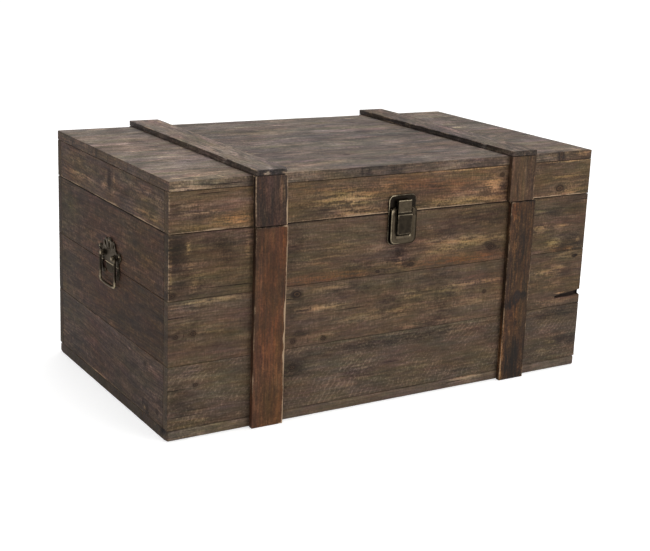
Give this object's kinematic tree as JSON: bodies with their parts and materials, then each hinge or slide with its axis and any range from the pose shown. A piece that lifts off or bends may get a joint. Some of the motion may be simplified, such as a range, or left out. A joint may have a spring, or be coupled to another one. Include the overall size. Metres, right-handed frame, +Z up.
{
  "type": "wooden storage trunk",
  "caption": "Plank storage trunk with a hinged flat lid, wooden straps, a draw latch on the front and a drop handle on each end.",
  "frame": {"origin": "on the floor under the middle of the chest, on the underside of the middle floor board", "axes": "+X along the length to the right as seen from the front, +Y to the back where the hinges are, +Z up"},
  "size_m": [0.8184, 0.4925, 0.4053],
  "materials": {
    "wall_wood": "dark stained, worn and sawn planks",
    "lid_wood": "greyed, dry planks",
    "strap_wood": "reddish brown stain, edges worn pale",
    "bronze": "dark antique bronze, worn bright on the edges"
  },
  "bodies": {
    "trunk_body": {"floor_board_1": "wall_wood", "floor_board_2": "wall_wood", "floor_board_3": "wall_wood", "floor_board_4": "wall_wood", "floor_board_5": "wall_wood", "front_plank_1": "wall_wood", "front_plank_2": "wall_wood", "front_plank_3": "wall_wood", "back_plank_1": "wall_wood", "back_plank_2": "wall_wood", "back_plank_3": "wall_wood", "left_plank_1": "wall_wood", "left_plank_2": "wall_wood", "left_plank_3": "wall_wood", "right_plank_1": "wall_wood", "right_plank_2": "wall_wood", "right_plank_3": "wall_wood", "body_strap_front_left": "strap_wood", "body_strap_front_right": "strap_wood", "body_strap_back_left": "strap_wood", "body_strap_back_right": "strap_wood", "hinge_left_body_leaf": "bronze", "hinge_left_pin": "bronze", "hinge_right_body_leaf": "bronze", "hinge_right_pin": "bronze", "latch_base": "bronze", "latch_lever_pin": "bronze", "handle_left_plate": "bronze", "handle_right_plate": "bronze"},
    "lid": {"lid_board_1": "lid_wood", "lid_board_2": "lid_wood", "lid_board_3": "lid_wood", "lid_board_4": "lid_wood", "lid_board_5": "lid_wood", "lid_board_6": "lid_wood", "lid_front_rail": "wall_wood", "lid_back_rail": "wall_wood", "lid_left_rail": "wall_wood", "lid_right_rail": "wall_wood", "lid_strap_front_left": "strap_wood", "lid_strap_front_right": "strap_wood", "lid_strap_back_left": "strap_wood", "lid_strap_back_right": "strap_wood", "lid_strap_top_left": "strap_wood", "lid_strap_top_right": "strap_wood", "hinge_left_lid_leaf": "bronze", "hinge_right_lid_leaf": "bronze", "latch_keeper": "bronze"},
    "latch_lever": {"latch_lever": "bronze", "latch_link_pin": "bronze"},
    "latch_link": {"latch_link": "bronze"},
    "left_bail": {"handle_left_bail": "bronze"},
    "right_bail": {"handle_right_bail": "bronze"}
  },
  "joints": [
    {"name": "lid_hinge", "type": "hinge", "parent": "trunk_body", "child": "lid", "pos_m": [0, 0.2428, 0.3183], "axis": [-1, 0, 0], "range_deg": [0, 95]},
    {"name": "latch_lever_hinge", "type": "hinge", "parent": "trunk_body", "child": "latch_lever", "pos_m": [0.002, -0.2358, 0.3245], "axis": [-1, 0, 0], "range_deg": [0, 120]},
    {"name": "latch_link_hinge", "type": "hinge", "parent": "latch_lever", "child": "latch_link", "pos_m": [0.002, -0.235, 0.3085], "axis": [-1, 0, 0], "range_deg": [-132, 0]},
    {"name": "left_bail_hinge", "type": "hinge", "parent": "trunk_body", "child": "left_bail", "pos_m": [-0.4054, -0.01, 0.2348], "axis": [0, 1, 0], "range_deg": [0, 160]},
    {"name": "right_bail_hinge", "type": "hinge", "parent": "trunk_body", "child": "right_bail", "pos_m": [0.4054, -0.01, 0.2348], "axis": [0, -1, 0], "range_deg": [0, 160]}
  ],
  "couplings": [
    {"joint": "latch_link_hinge", "follows": "latch_lever_hinge", "ratio": -1.1}
  ]
}
